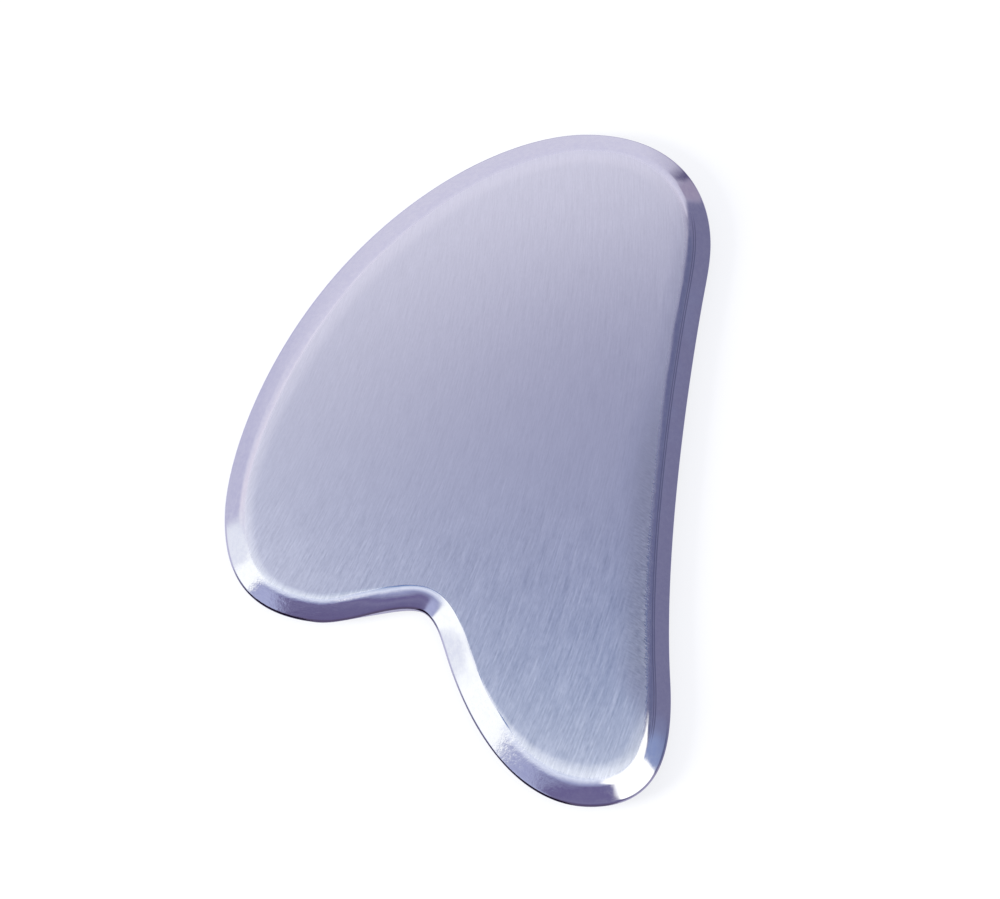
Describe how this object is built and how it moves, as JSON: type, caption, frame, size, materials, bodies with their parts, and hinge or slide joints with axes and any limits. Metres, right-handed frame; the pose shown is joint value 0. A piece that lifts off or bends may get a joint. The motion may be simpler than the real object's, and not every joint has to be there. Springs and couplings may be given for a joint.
{
  "type": "gua sha scraper",
  "caption": "Flat stainless-steel gua sha scraper with a rounded crown, a convex back, a slightly hollow blade side, a notch between two lobes and a bevelled rounded edge.",
  "frame": {"origin": "centre of the outline's bounding box, on the back face that the plate rests on", "axes": "+Y along the length, towards the rounded crown; +X towards the hollow blade side; +Z out of the front face"},
  "size_m": [0.0564, 0.084, 0.0035],
  "materials": {
    "brushed_steel": "brushed faces, polished bevels"
  },
  "bodies": {
    "root": {"scraper_plate": "brushed_steel"}
  },
  "joints": []
}
